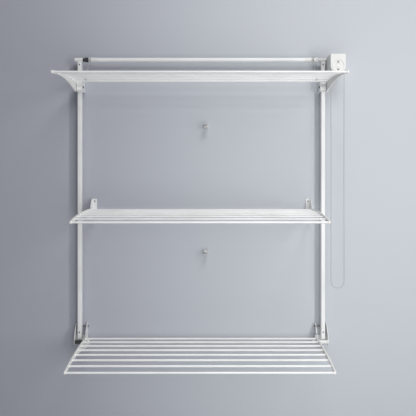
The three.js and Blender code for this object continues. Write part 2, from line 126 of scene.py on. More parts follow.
# %% [markdown]
# ## Mesh helpers
#
# Most pieces of the rack are one of three things: something turned on a
# lathe, a flat outline with a thickness, or a tube along a line. One helper
# makes each. They return plain meshes as bmesh objects, so several can be
# put together before they become one piece.
#
# Real edges are never sharp, so slabs are rounded along their edges, and a
# Weighted Normal modifier keeps the large faces flat between the roundings.
# Holes are cut with a Boolean while the mesh is still being made.

# %% Lathe, slab and sweep
def lathe(profile, turns_about, at, segments):
    """Turns a list of (along, radius) about the X or Y line through a point."""
    shape = bmesh.new()
    rings = []
    for along, radius in profile:
        if radius < 1e-7:
            rings.append([shape.verts.new((along, 0, 0))])
            continue
        ring = []
        for i in range(segments):
            angle = 2 * math.pi * i / segments
            y, z = radius * math.cos(angle), radius * math.sin(angle)
            ring.append(shape.verts.new((along, y, z)))
        rings.append(ring)
    for one, two in zip(rings, rings[1:]):
        for i in range(segments):
            j = (i + 1) % segments
            corners = [one[i % len(one)], two[i % len(two)], two[j % len(two)], one[j % len(one)]]
            unique = list(dict.fromkeys(corners))
            if len(unique) > 2:
                shape.faces.new(unique)
    turn = Matrix.Rotation(math.pi / 2, 4, "Z") if turns_about == "Y" else Matrix.Identity(4)
    shape.transform(Matrix.Translation(at) @ turn)
    bmesh.ops.recalc_face_normals(shape, faces=shape.faces)
    return shape


def slab(outline, low, high, across="X"):
    """Gives a flat outline a thickness along X, where the outline is drawn in
    (y, z), or along Y, where it is drawn in (x, z)."""
    shape = bmesh.new()
    rings = []
    for level in (low, high):
        points = [(level, a, b) if across == "X" else (a, level, b) for a, b in outline]
        rings.append([shape.verts.new(p) for p in points])
    shape.faces.new(rings[0])
    shape.faces.new(rings[1])
    count = len(outline)
    for i in range(count):
        j = (i + 1) % count
        shape.faces.new([rings[0][i], rings[0][j], rings[1][j], rings[1][i]])
    bmesh.ops.recalc_face_normals(shape, faces=shape.faces)
    return shape


def sweep(points, radius, sides=12):
    """A round closed tube along a line of points."""
    shape = bmesh.new()
    points = [Vector(p) for p in points]
    rings = []
    side = Vector((0, 1, 0))
    for i, point in enumerate(points):
        ahead = (points[min(i + 1, len(points) - 1)] - points[max(i - 1, 0)]).normalized()
        side = (side - ahead * side.dot(ahead)).normalized()
        other = ahead.cross(side)
        rings.append([
            shape.verts.new(point + radius * (math.cos(a) * side + math.sin(a) * other))
            for a in (2 * math.pi * k / sides for k in range(sides))
        ])
    for one, two in zip(rings, rings[1:]):
        for i in range(sides):
            j = (i + 1) % sides
            shape.faces.new([one[i], one[j], two[j], two[i]])
    shape.faces.new(rings[0])
    shape.faces.new(rings[-1])
    bmesh.ops.recalc_face_normals(shape, faces=shape.faces)
    return shape


def block(low, high):
    """A box between two corners."""
    outline = [(low[1], low[2]), (high[1], low[2]), (high[1], high[2]), (low[1], high[2])]
    return slab(outline, low[0], high[0])


# %% Rounding and cutting
def rounded(shape, width, segments=3):
    """Rounds every edge where two faces meet at more than 35 degrees."""
    corner = math.radians(35)
    edges = [e for e in shape.edges if len(e.link_faces) == 2 and e.calc_face_angle() > corner]
    bmesh.ops.bevel(shape, geom=edges, offset=width, segments=segments, profile=0.5, affect="EDGES",
                    clamp_overlap=True)
    return shape


def loose_object(shape):
    mesh = bpy.data.meshes.new("loose")
    shape.to_mesh(mesh)
    shape.free()
    made = bpy.data.objects.new("loose", mesh)
    bpy.context.scene.collection.objects.link(made)
    return made


def combine(shape, tools, operation):
    body = loose_object(shape)
    cutters = [loose_object(t) for t in tools]
    for cutter in cutters:
        cut = body.modifiers.new("cut", "BOOLEAN")
        cut.operation = operation
        cut.solver = "EXACT"
        cut.object = cutter
    evaluated = body.evaluated_get(bpy.context.evaluated_depsgraph_get())
    result = bmesh.new()
    result.from_mesh(evaluated.to_mesh())
    evaluated.to_mesh_clear()
    for used in [body, *cutters]:
        mesh = used.data
        bpy.data.objects.remove(used)
        bpy.data.meshes.remove(mesh)
    return result


def carve(shape, *tools):
    """Cuts the tool shapes out of a shape."""
    return combine(shape, tools, "DIFFERENCE")


def fuse(shape, *others):
    """Joins shapes into one skin, with no walls left inside."""
    return combine(shape, others, "UNION")


# %% From shapes to a piece
def piece(name, shapes, material, body, instead_of=(), sharp=40):
    """Joins shapes into one named object and hands it to the body it rides
    on and the CAD nodes it stands for."""
    mesh = bpy.data.meshes.new(name)
    whole = bmesh.new()
    for shape in shapes:
        part = bpy.data.meshes.new("part")
        shape.to_mesh(part)
        shape.free()
        whole.from_mesh(part)
        bpy.data.meshes.remove(part)
    whole.to_mesh(mesh)
    whole.free()
    mesh.shade_smooth()
    mesh.set_sharp_from_angle(angle=math.radians(sharp))
    made = bpy.data.objects.new(name, mesh)
    bpy.context.scene.collection.objects.link(made)
    made.data.materials.append(material)
    evening = made.modifiers.new("even shading", "WEIGHTED_NORMAL")
    evening.keep_sharp = True
    if body:
        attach(made, body)
    if instead_of:
        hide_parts(*instead_of)
    return made


def arc(middle, radius, start, end, steps):
    """Points on an arc, in degrees, as (a, b) pairs."""
    points = []
    for i in range(steps + 1):
        angle = math.radians(start + (end - start) * i / steps)
        points.append((middle[0] + radius * math.cos(angle), middle[1] + radius * math.sin(angle)))
    return points


def bore_x(radius, low, high, y, z):
    """A plain round tool along X, for cutting a hole."""
    return lathe([(low, 0), (low, radius), (high, radius), (high, 0)], "X", (0, y, z), 24)


print("helpers ready: lathe, slab, sweep, block, rounded, carve, fuse, piece, arc, bore_x")

# %% [markdown]
# ## Shared surface effects
#
# Two effects turn up in nearly every finish. Moulded plastic and baked paint
# both have a very fine pebbled skin, which breaks up the highlight. And
# nothing white stays evenly white: dust and hands leave faint, wide
# patches. Each effect is a node group with named inputs, so that every
# material can use it at its own size and strength.

# %% Node groups
def group(name, inputs, outputs):
    made = bpy.data.node_groups.new(name, "ShaderNodeTree")
    for label, kind, value in inputs:
        socket = made.interface.new_socket(label, in_out="INPUT", socket_type=kind)
        socket.default_value = value
    for label, kind in outputs:
        made.interface.new_socket(label, in_out="OUTPUT", socket_type=kind)
    return made, made.nodes.new("NodeGroupInput"), made.nodes.new("NodeGroupOutput")


def noise(tree, scale, detail):
    """Noise in object space, at the scale that a socket gives."""
    place = tree.nodes.new("ShaderNodeTexCoord")
    texture = tree.nodes.new("ShaderNodeTexNoise")
    texture.inputs["Detail"].default_value = detail
    tree.links.new(place.outputs["Object"], texture.inputs["Vector"])
    tree.links.new(scale, texture.inputs["Scale"])
    return texture


def pebbled_skin():
    made, inside, outside = group(
        "PebbledSkin",
        [("Scale", "NodeSocketFloat", 900.0), ("Depth", "NodeSocketFloat", 0.1)],
        [("Height", "NodeSocketFloat")],
    )
    fine = noise(made, inside.outputs["Scale"], 2.0)
    times = made.nodes.new("ShaderNodeMath")
    times.operation = "MULTIPLY"
    made.links.new(fine.outputs["Fac"], times.inputs[0])
    made.links.new(inside.outputs["Depth"], times.inputs[1])
    made.links.new(times.outputs[0], outside.inputs["Height"])
    return made


def handled_tone():
    made, inside, outside = group(
        "HandledTone",
        [("Clean", "NodeSocketColor", (0.8, 0.8, 0.8, 1)),
         ("Dulled", "NodeSocketColor", (0.7, 0.7, 0.7, 1)),
         ("Patch Scale", "NodeSocketFloat", 6.0), ("Gloss Low", "NodeSocketFloat", 0.3),
         ("Gloss High", "NodeSocketFloat", 0.45)],
        [("Color", "NodeSocketColor"), ("Roughness", "NodeSocketFloat")],
    )
    patches = noise(made, inside.outputs["Patch Scale"], 6.0)
    spread = made.nodes.new("ShaderNodeMapRange")
    spread.inputs["From Min"].default_value = 0.38
    spread.inputs["From Max"].default_value = 0.68
    made.links.new(patches.outputs["Fac"], spread.inputs["Value"])
    mix = made.nodes.new("ShaderNodeMix")
    mix.data_type = "RGBA"
    made.links.new(spread.outputs["Result"], mix.inputs["Factor"])
    made.links.new(inside.outputs["Clean"], mix.inputs["A"])
    made.links.new(inside.outputs["Dulled"], mix.inputs["B"])
    gloss = made.nodes.new("ShaderNodeMapRange")
    made.links.new(patches.outputs["Fac"], gloss.inputs["Value"])
    made.links.new(inside.outputs["Gloss Low"], gloss.inputs["To Min"])
    made.links.new(inside.outputs["Gloss High"], gloss.inputs["To Max"])
    made.links.new(mix.outputs["Result"], outside.inputs["Color"])
    made.links.new(gloss.outputs["Result"], outside.inputs["Roughness"])
    return made


PEBBLED = pebbled_skin()
HANDLED = handled_tone()
print("node groups:", PEBBLED.name, HANDLED.name)

# %% [markdown]
# ## Finishes
#
# The steel tubes and brackets carry a baked white enamel, smoother and
# cooler than the arms, which are moulded nylon and slightly warm. The winch
# case, post heads and hooks are a third white, a plain moulding plastic.
# They differ only in tone, gloss, coat and the size of the pebbled skin, so
# one function makes them all, and the black plastic and the screws as well.

# %% White enamel, nylon and plastics
def finish_of(name, clean, dulled, gloss, patch_scale, skin_scale, skin_depth, metal=0.0, coat=0.0):
    material = bpy.data.materials.new(name)
    material.use_nodes = True
    tree = material.node_tree
    shader = tree.nodes["Principled BSDF"]
    tone = tree.nodes.new("ShaderNodeGroup")
    tone.node_tree = HANDLED
    tone.inputs["Clean"].default_value = (*clean, 1)
    tone.inputs["Dulled"].default_value = (*dulled, 1)
    tone.inputs["Patch Scale"].default_value = patch_scale
    tone.inputs["Gloss Low"].default_value = gloss[0]
    tone.inputs["Gloss High"].default_value = gloss[1]
    skin = tree.nodes.new("ShaderNodeGroup")
    skin.node_tree = PEBBLED
    skin.inputs["Scale"].default_value = skin_scale
    skin.inputs["Depth"].default_value = skin_depth
    bump = tree.nodes.new("ShaderNodeBump")
    bump.inputs["Strength"].default_value = 0.35
    bump.inputs["Distance"].default_value = 0.0005
    tree.links.new(skin.outputs["Height"], bump.inputs["Height"])
    tree.links.new(bump.outputs["Normal"], shader.inputs["Normal"])
    tree.links.new(tone.outputs["Color"], shader.inputs["Base Color"])
    tree.links.new(tone.outputs["Roughness"], shader.inputs["Roughness"])
    shader.inputs["Metallic"].default_value = metal
    shader.inputs["Coat Weight"].default_value = coat
    shader.inputs["Coat Roughness"].default_value = 0.15
    return material


enamel = finish_of("white_enamel", (0.87, 0.875, 0.875), (0.80, 0.805, 0.80), (0.26, 0.38),
                   7, 700, 0.16, coat=0.25)
nylon = finish_of("warm_white_nylon", (0.86, 0.85, 0.82), (0.80, 0.79, 0.76), (0.36, 0.5),
                  9, 1300, 0.3)
plastic = finish_of("moulded_white_plastic", (0.80, 0.80, 0.795), (0.74, 0.74, 0.73), (0.34, 0.48),
                    10, 1500, 0.25)
black = finish_of("black_plastic", (0.050, 0.050, 0.056), (0.085, 0.085, 0.092), (0.42, 0.6),
                  14, 1500, 0.4)
zinc = finish_of("zinc_plate", (0.60, 0.61, 0.62), (0.46, 0.47, 0.49), (0.26, 0.42),
                 60, 2200, 0.3, metal=1.0)
dark_steel = finish_of("blackened_steel", (0.10, 0.10, 0.11), (0.17, 0.165, 0.16), (0.35, 0.5),
                       60, 2200, 0.3, metal=0.9)
print("finishes:", [m.name for m in bpy.data.materials if m.use_nodes])

# %% [markdown]
# ## Braided cord
#
# Blind cord is braided: two sets of yarns cross in steep spirals round a
# soft core. Two sets of diagonal waves, one leaning each way, give the
# crossing ridges, and the grooves between them are painted darker, as
# painted shade. The wave runs on the surface's own coordinates, so it
# needs no unwrapping.

# %% Cord finish
def braided(name, colour):
    material = bpy.data.materials.new(name)
    material.use_nodes = True
    tree = material.node_tree
    shader = tree.nodes["Principled BSDF"]
    place = tree.nodes.new("ShaderNodeTexCoord")
    ridges = []
    for lean in (0.9, -0.9):
        turn = tree.nodes.new("ShaderNodeMapping")
        turn.inputs["Rotation"].default_value = (0, lean, 0)
        wave = tree.nodes.new("ShaderNodeTexWave")
        wave.inputs["Scale"].default_value = 330
        wave.inputs["Distortion"].default_value = 0.6
        tree.links.new(place.outputs["Object"], turn.inputs["Vector"])
        tree.links.new(turn.outputs["Vector"], wave.inputs["Vector"])
        ridges.append(wave.outputs["Fac"])
    higher = tree.nodes.new("ShaderNodeMath")
    higher.operation = "MAXIMUM"
    tree.links.new(ridges[0], higher.inputs[0])
    tree.links.new(ridges[1], higher.inputs[1])
    # The grooves between the ridges are darkened in colour, as painted shade.
    tone = tree.nodes.new("ShaderNodeMix")
    tone.data_type = "RGBA"
    tone.inputs["A"].default_value = (*[c * 0.72 for c in colour], 1)
    tone.inputs["B"].default_value = (*colour, 1)
    tree.links.new(higher.outputs[0], tone.inputs["Factor"])
    tree.links.new(tone.outputs["Result"], shader.inputs["Base Color"])
    bump = tree.nodes.new("ShaderNodeBump")
    bump.inputs["Strength"].default_value = 0.7
    bump.inputs["Distance"].default_value = 0.0004
    tree.links.new(higher.outputs[0], bump.inputs["Height"])
    tree.links.new(bump.outputs["Normal"], shader.inputs["Normal"])
    shader.inputs["Roughness"].default_value = 0.75
    shader.inputs["Sheen Weight"].default_value = 0.3
    return material


cord_yarn = braided("braided_cord", (0.46, 0.46, 0.44))

# %% [markdown]
# ## Pull cord
#
# The cord that works the winch is an endless loop over a grooved wheel. It
# hangs straight down both sides and turns round at the bottom in a bend as
# wide as the wheel. It is a curve with a round bevel, because a curve keeps
# its own length and can be measured.

# %% The loop over the wheel
WHEEL = pivots["cord_wheel"]
PULL_CORD = 3.0 * MM
LOOP_HALF = 30.5 * MM
LOOP = [
    (-1, 30.5), (-11.7, 28.2), (-21.6, 21.6), (-28.2, 11.7), (-30.5, 0),
    (-30.5, -60), (-30.4, -250), (-30.1, -450), (-30.2, -650), (-30.5, -850), (-30.5, -980),
    (-30.3, -1002), (-27.9, -1014.5), (-21.2, -1024.4), (-11.4, -1030.5),
    (0, -1032.5),
    (11.4, -1030.5), (21.2, -1024.4), (27.9, -1014.5), (30.3, -1002),
    (30.5, -980), (30.5, -850), (30.2, -650), (30.1, -450), (30.4, -250), (30.5, -60),
    (30.5, 0), (28.2, 11.7), (21.6, 21.6), (11.7, 28.2), (1, 30.5),
]


def smooth_line(points, steps=10):
    """A centripetal Catmull-Rom line through the points."""
    points = [Vector(p) for p in points]
    ends = [2 * points[0] - points[1], *points, 2 * points[-1] - points[-2]]
    line = [points[0]]
    for a, b, c, d in zip(ends, ends[1:], ends[2:], ends[3:]):
        t1 = (b - a).length ** 0.5
        t2 = t1 + (c - b).length ** 0.5
        t3 = t2 + (d - c).length ** 0.5
        for i in range(1, steps + 1):
            t = t1 + (t2 - t1) * i / steps
            one = a * ((t1 - t) / t1) + b * (t / t1)
            two = b * ((t2 - t) / (t2 - t1)) + c * ((t - t1) / (t2 - t1))
            three = c * ((t3 - t) / (t3 - t2)) + d * ((t - t2) / (t3 - t2))
            left = one * ((t2 - t) / t2) + two * (t / t2)
            right = two * ((t3 - t) / (t3 - t1)) + three * ((t - t1) / (t3 - t1))
            line.append(left * ((t2 - t) / (t2 - t1)) + right * ((t - t1) / (t2 - t1)))
    return line


def length_of(line):
    return sum((b - a).length for a, b in zip(line, line[1:]))


def round_curve(name, line, diameter, material):
    curve = bpy.data.curves.new(name, "CURVE")
    curve.dimensions = "3D"
    curve.bevel_depth = diameter / 2
    curve.bevel_resolution = 4
    curve.use_fill_caps = True
    spline = curve.splines.new("POLY")
    spline.points.add(len(line) - 1)
    for point, place in zip(spline.points, line):
        point.co = (*place, 1)
    curve.materials.append(material)
    made = bpy.data.objects.new(name, curve)
    bpy.context.scene.collection.objects.link(made)
    return made


loop_line = smooth_line([WHEEL + Vector((x * MM, 0, z * MM)) for x, z in LOOP])
pull_cord = round_curve("pull_cord_loop", loop_line, PULL_CORD, cord_yarn)
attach(pull_cord, "wall_frame")
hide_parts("pull_cord")
print("pull cord loop:", round(length_of(loop_line), 3), "m")

# %% [markdown]
# ## Posts
#
# Each post is a length of rectangular tube. Its corners were bent, not cut,
# so they are rounded both outside and in, and its lower end is open. The
# outline is drawn once with round corners and made into a hollow length.

# %% Posts
POST_CORNER = 3.0 * MM
POST_WALL = 1.5 * MM


def round_rectangle(x0, x1, y0, y1, radius, steps=5):
    corners = [((x1 - radius, y1 - radius), 0), ((x0 + radius, y1 - radius), 90),
               ((x0 + radius, y0 + radius), 180), ((x1 - radius, y0 + radius), 270)]
    return [p for middle, start in corners for p in arc(middle, radius, start, start + 90, steps)]


def hollow_post(low, high):
    """A rounded rectangular tube standing along Z, open at both ends."""
    shape = bmesh.new()
    outer = round_rectangle(low.x, high.x, low.y, high.y, POST_CORNER)
    inner = round_rectangle(low.x + POST_WALL, high.x - POST_WALL,
                            low.y + POST_WALL, high.y - POST_WALL, POST_CORNER - POST_WALL)
    loops = [(outer, low.z), (outer, high.z), (inner, high.z), (inner, low.z)]
    rings = [[shape.verts.new((x, y, z)) for x, y in outline] for outline, z in loops]
    for one, two in zip(rings, rings[1:] + rings[:1]):
        for i in range(len(one)):
            j = (i + 1) % len(one)
            shape.faces.new([one[i], one[j], two[j], two[i]])
    bmesh.ops.recalc_face_normals(shape, faces=shape.faces)
    return shape


for side in SIDES:
    low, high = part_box(f"{side}_post")
    piece(f"{side}_post_tube", [hollow_post(low, high)], enamel, "wall_frame",
          [f"{side}_post"])
print("post section, mm:", round((high.x - low.x) / MM, 1), "by", round((high.y - low.y) / MM, 1))

# %% [markdown]
# ## Rods
#
# The laundry hangs on twenty-four thin enamelled tubes. They are turned
# with a slight dome on each end, where the paint has rounded the cut, and
# they are let into the arms, so only their clean middles show.

# %% Rods
def rod(node):
    low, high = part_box(node)
    radius = (high.z - low.z) / 2
    dome = 0.8 * MM
    half = (high.x - low.x) / 2
    end = [(half - dome, radius), (half - dome / 3, radius - dome / 3), (half, radius - dome), (half, 0)]
    other_end = [(-along, r) for along, r in reversed(end)]
    return lathe(other_end + end, "X", centre(node), 28)


for shelf in SHELVES:
    for i in range(ROD_COUNT):
        node = f"{shelf}_shelf_rod_{i + 1}"
        piece(f"{shelf}_rod_{i + 1}", [rod(node)], enamel, f"{shelf}_shelf", [node])
print("rods:", 3 * ROD_COUNT)

# %% [markdown]
# ## Arms
#
# An arm is a nylon moulding: shallow at the tip, deep at the hub, and
# gently arched along the top. Its outer face is recessed inside a rim, as
# mouldings are, to keep the wall even. On its inner face each rod has a
# small collar, and the hub of the two lower shelves has a long boss that
# steadies the pivot.
#
# The top edge follows the rods, which are measured from the frame. The
# lower edge hangs from it by a depth that grows towards the hub.

# %% The arm's outline
ARM_ABOVE_RODS = 6.5 * MM
TIP_RADIUS = 6.5 * MM
HUB_RADIUS = 20 * MM
ARM_THICKNESS = 7 * MM
TIP_DEPTH = 13 * MM
DEEPENING = 40.5 * MM
EVEN_LENGTH = 60 * MM
GROWING_LENGTH = 356 * MM


def arm_depth(from_tip):
    growing = max(0.0, from_tip - EVEN_LENGTH) / GROWING_LENGTH
    return TIP_DEPTH + DEEPENING * growing ** 1.7


def arm_outline(shelf):
    """The arm from the side, as (y, z) points, starting above the hub."""
    rods = rod_centres(shelf)
    pivot = pivots[f"{shelf}_shelf"]
    rear, front = rods[0], rods[-1]
    run = rear.y - front.y
    drop = rear.z - front.z

    def top(y):
        along = max(0.0, (rear.y - y) / run)
        return rear.z + ARM_ABOVE_RODS - drop * along ** 2.4

    steps = 24
    points = [(pivot.y + 6 * MM, top(rear.y)), (rear.y, top(rear.y))]
    points += [(rear.y - run * i / steps, top(rear.y - run * i / steps)) for i in range(1, steps)]
    points += arc((front.y, top(front.y) - TIP_RADIUS), TIP_RADIUS, 90, 270, 10)
    last = pivot.y - 18 * MM
    for i in range(1, steps + 1):
        y = front.y + (last - front.y) * i / steps
        points.append((y, top(y) - arm_depth(y - (front.y - TIP_RADIUS))))
    points += arc((pivot.y, pivot.z), HUB_RADIUS, 240, 360, 14)
    points.append((pivot.y + HUB_RADIUS, pivot.z + 14 * MM))
    return points


# %% Rim, collars and boss
PIN_BORE = 4.3 * MM
RIM_WIDTH = 3 * MM
RECESS = 1.2 * MM
COLLAR = [(0, 4.4), (0, 6.1), (-1.4, 6.1), (-2, 5.6), (-2, 4.4)]


def rimmed_slab(outline, inner, outer):
    """A slab whose outer face is sunk inside a rim."""
    shape = slab(outline, inner, outer)
    shape.faces.ensure_lookup_table()
    outward = 1 if outer > inner else -1
    face = max(shape.faces, key=lambda f: f.calc_area() + f.normal.x * outward)
    bmesh.ops.inset_region(shape, faces=[face], thickness=RIM_WIDTH, depth=-RECESS,
                           use_even_offset=True)
    return shape


for shelf in SHELVES:
    outline = arm_outline(shelf)
    pivot = pivots[f"{shelf}_shelf"]
    for side, sign in SIDES.items():
        node = f"{shelf}_shelf_{side}_arm"
        low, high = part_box(node)
        boss_end, outer = inner_and_outer(node, sign)
        inner = outer - sign * ARM_THICKNESS
        bore = bore_x(PIN_BORE, low.x - MM, high.x + MM, pivot.y, pivot.z)
        shapes = [carve(rounded(rimmed_slab(outline, inner, outer), 1.1 * MM), bore)]
        collar = [(inner + sign * a * MM, r * MM) for a, r in COLLAR]
        for middle in rod_centres(shelf):
            shapes.append(lathe(collar, "X", (0, middle.y, middle.z), 24))
        if abs(boss_end - inner) > 1 * MM:
            boss = [(inner, 14 * MM), (boss_end + sign * 1.5 * MM, 13.4 * MM), (boss_end, 12 * MM),
                    (boss_end, PIN_BORE)]
            shapes.append(lathe(boss, "X", (0, pivot.y, pivot.z), 36))
        piece(f"{shelf}_{side}_arm", shapes, nylon, f"{shelf}_shelf", [node])
print("arm outline points:", len(outline))

# %% [markdown]
# ## Brackets
#
# The lower brackets are pressed from sheet. Their flanges are gussets: full
# depth round the pivot, where the load is, and drawn in along a hollow curve
# to a narrow strip. The bottom ones are channels with two flanges round the
# foot of the post, and the middle ones are angles screwed to the wall.

# %% Sheet-metal brackets
SHEET = 2.5 * MM
BACK_PLATE_HEAD = 20 * MM
WALL_PLATE = 58 * MM
PACKER_HALF = 8 * MM


def gusset(node):
    """A flange's outline in (y, z), from a bracket's own box."""
    low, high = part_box(node)
    reach, foot, head = low.y, low.z, high.z
    corner = 12 * MM
    points = [(0, foot), (reach + corner, foot)]
    points += arc((reach + corner, foot + corner), corner, 270, 180, 8)
    bend = Vector((reach + 4 * MM, foot + 56 * MM))
    end = Vector((-14 * MM, head))
    start = Vector(points[-1])
    for i in range(1, 15):
        t = i / 14
        p = start * (1 - t) ** 2 + bend * (2 * t * (1 - t)) + end * t * t
        points.append((p.x, p.y))
    points.append((0, head))
    return points


for side in SIDES:
    node = f"{side}_bottom_bracket"
    low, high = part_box(node)
    outline = gusset(node)
    post_low, post_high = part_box(f"{side}_post")
    middle = (post_low.x + post_high.x) / 2
    channel = fuse(
        block((low.x, -SHEET, low.z), (high.x, 0, BACK_PLATE_HEAD)),
        slab(outline, low.x, low.x + SHEET), slab(outline, high.x - SHEET, high.x),
        block((middle - PACKER_HALF, post_high.y + GAP, post_low.z),
              (middle + PACKER_HALF, 0, high.z - 6 * MM)),
    )
    piece(f"{side}_foot_bracket", [rounded(channel, 0.6 * MM)], enamel, "wall_frame", [node])

for side, sign in SIDES.items():
    node = f"{side}_mid_bracket"
    low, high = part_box(node)
    web = inner_and_outer(node, sign)[1]
    angle = fuse(slab(gusset(node), *sorted((web - sign * SHEET, web))),
                 block((low.x, -SHEET, high.z - WALL_PLATE), (high.x, 0, high.z)))
    piece(f"{side}_wall_angle", [rounded(angle, 0.6 * MM)], enamel, "wall_frame", [node])
print("gusset points:", len(outline))

# %% [markdown]
# ## Pivot blocks of the top shelf
#
# The top shelf's arms run outside the posts, so its pivots sit in a block
# in front of each post. Seen from the front it is a small white block with a
# rounded foot, and a cheek beside the post takes it back to the wall.

# %% Pivot blocks
BLOCK_FOOT = 14 * MM
BLOCK_HEAD = 12 * MM


def block_side(low, high, back):
    """The block from the side: a rounded foot, and a sloping head."""
    points = [(back, low.z), (low.y + BLOCK_FOOT, low.z)]
    points += arc((low.y + BLOCK_FOOT, low.z + BLOCK_FOOT), BLOCK_FOOT, 270, 180, 9)
    return points + [(low.y, high.z - BLOCK_HEAD), (low.y + BLOCK_HEAD, high.z), (back, high.z)]


for side, sign in SIDES.items():
    node = f"{side}_top_bracket"
    low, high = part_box(node)
    front_of_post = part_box(f"{side}_post")[0].y - GAP
    beside_post = inner_and_outer(f"{side}_post", sign)[0] - sign * GAP
    cheek = sorted((inner_and_outer(node, sign)[0], beside_post))
    whole = fuse(slab(block_side(low, high, 0.0), *cheek),
                 slab(block_side(low, high, front_of_post), low.x, high.x))
    piece(f"{side}_pivot_block", [rounded(whole, 1.2 * MM)], enamel, "wall_frame",
          [node])
print("pivot blocks:", len(SIDES))

# %% [markdown]
# ## Pivot pins and axles
#
# Every pin is turned, with a domed head. The two bottom axles carry a
# sleeve that fills the channel under the post's foot. The left sleeve, in
# the post's shade, is black as painted shade; the right one, in the light,
# is white.

# %% Pins
PIN_RADIUS = 4 * MM
PIN_HEAD_RADIUS = 7 * MM
PIN_HEAD_HEIGHT = 3 * MM


def domed(start, end, radius):
    """A flat-backed head that domes towards its end, as a lathe profile."""
    step = end - start
    return [(start, 0), (start, radius), (start + step * 0.35, radius),
            (start + step * 0.75, radius * 0.82), (end, radius * 0.45), (end, 0)]


def pin(node, sign, at, inner_head=True):
    """A plain shank with a domed head on its outer end, or on both."""
    inner, outer = inner_and_outer(node, sign)
    head = PIN_HEAD_HEIGHT * sign
    place = (0, at.y, at.z)
    shank = [(inner, 0), (inner, PIN_RADIUS), (outer - head, PIN_RADIUS), (outer - head, 0)]
    shapes = [lathe(domed(outer - head, outer, PIN_HEAD_RADIUS), "X", place, 28),
              lathe(shank, "X", place, 24)]
    if inner_head:
        shapes.append(lathe(domed(inner + head, inner, PIN_HEAD_RADIUS), "X", place, 28))
    return shapes


for side, sign in SIDES.items():
    low_pivot, mid_pivot, top_pivot = (pivots[f"{s}_shelf"] for s in ("bottom", "mid", "top"))
    channel_low, channel_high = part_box(f"{side}_bottom_bracket")
    start, end = channel_low.x + SHEET + GAP, channel_high.x - SHEET - GAP
    sleeve = [(start, PIN_RADIUS), (start, 8.2 * MM), (start + MM, 9 * MM),
              (end - MM, 9 * MM), (end, 8.2 * MM), (end, PIN_RADIUS)]
    shapes = pin(f"{side}_bottom_pivot_axle", sign, low_pivot)
    shapes.append(lathe(sleeve, "X", (0, low_pivot.y, low_pivot.z), 32))
    # The left sleeve is made black as painted shade, for the post's shade over it; the right one is white.
    finish, finish_slot = (black, "black_plastic") if side == "left" else (plastic, "white_plastic")
    piece(f"{side}_foot_axle", shapes, finish, "wall_frame", [f"{side}_bottom_pivot_axle"])
    node = f"{side}_mid_pivot_pin"
    piece(f"{side}_mid_pin", pin(node, sign, mid_pivot), zinc, "wall_frame", [node])
    node = f"{side}_top_pivot_pin"
    piece(f"{side}_top_pin", pin(node, sign, top_pivot, False), zinc, "wall_frame", [node])
print("pins and axles:", 3 * len(SIDES))

# %% [markdown]
# ## Roller, drums and post heads
#
# The roller is a plain enamelled tube with a stepped white sleeve pushed on
# each end. Beyond the sleeves are the cord drums, and beyond them the post
# heads: a bearing with a black bush on the left, and the drive's coupling on
# the right. All of it is turned work on one axis.

# %% Roller tube and sleeves
ROLLER = pivots["roller"]
low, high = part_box("roller_tube")
tube_radius = (high.z - low.z) / 2
tube_profile = [(low.x, tube_radius - 1.3 * MM), (low.x, tube_radius), (high.x, tube_radius),
                (high.x, tube_radius - 1.3 * MM), (low.x, tube_radius - 1.3 * MM)]
piece("roller_barrel", [lathe(tube_profile, "X", ROLLER, 40)], enamel, "roller",
      ["roller_tube"])
tube_end = high.x

SLEEVE_STEPS = [(0, 0.2), (0, 1.3), (7, 1.3), (7.6, 0.6), (9.4, 0.6), (10, 1.2), (17, 1.2), (17.6, 0.6),
                (19.4, 0.6), (20, 1.1), (27.2, 1.0), (28, 0.2)]
for side, sign in SIDES.items():
    end = sign * (tube_end + 0.1 * MM)
    profile = [(end - sign * a * MM, tube_radius + r * MM) for a, r in SLEEVE_STEPS]
    piece(f"{side}_roller_sleeve", [lathe(profile, "X", ROLLER, 40)], plastic, "roller")
print("roller radius, mm:", round(tube_radius / MM, 2))


# %% Cord drums
DRUM_SEAT = 9
DRUM_STEPS = [(-24, 0), (-24, 8.7), (0, 8.7), (0, 13), (0.6, 13.5), (1.6, 13.5), (2, 13), (2, DRUM_SEAT),
              (10, DRUM_SEAT), (10, 13), (10.4, 13.5), (11.4, 13.5), (12, 13), (12, 5)]

for side, sign in SIDES.items():
    node = f"{side}_lift_drum"
    start = sign * (tube_end + GAP)
    stub_end = inner_and_outer(node, sign)[1]
    profile = [(start + sign * a * MM, r * MM) for a, r in DRUM_STEPS] + [(stub_end, 5 * MM), (stub_end, 0)]
    piece(f"{side}_cord_drum", [lathe(profile, "X", ROLLER, 40)], plastic, "roller",
          [node])
print("drums start at x =", round(start, 4))


# %% Post heads
SHAFT_BORE = 5.3 * MM
BUSH_SEAT = 6.8 * MM


def post_head(side, sign):
    low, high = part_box(f"{side}_post_head")
    post_low, post_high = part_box(f"{side}_post")
    radius = high.z - ROLLER.z
    bore = SHAFT_BORE if sign > 0 else BUSH_SEAT
    edge = 1 * MM
    sleeve = [(low.x, bore), (low.x, radius - edge), (low.x + edge, radius), (high.x - edge, radius),
              (high.x, radius - edge), (high.x, bore), (low.x, bore)]
    cap_top = post_high.z + 3.6 * MM
    inset = 1.8 * MM
    cap = block((post_low.x, post_low.y, post_high.z + GAP), (post_high.x, post_high.y, cap_top))
    plug = block((post_low.x + inset, post_low.y + inset, post_high.z - 24 * MM),
                 (post_high.x - inset, post_high.y - inset, cap_top - 1 * MM))
    saddle = block((post_low.x + 1 * MM, ROLLER.y - 5 * MM, post_high.z + 1 * MM),
                   (post_high.x - 1 * MM, ROLLER.y + 7 * MM, ROLLER.z - radius / 2 - 2.2 * MM))
    return [lathe(sleeve, "X", ROLLER, 36), rounded(cap, 0.8 * MM), plug, rounded(saddle, 0.5 * MM)]


for side, sign in SIDES.items():
    piece(f"{side}_bearing_head", post_head(side, sign), plastic, "wall_frame",
          [f"{side}_post_head"])

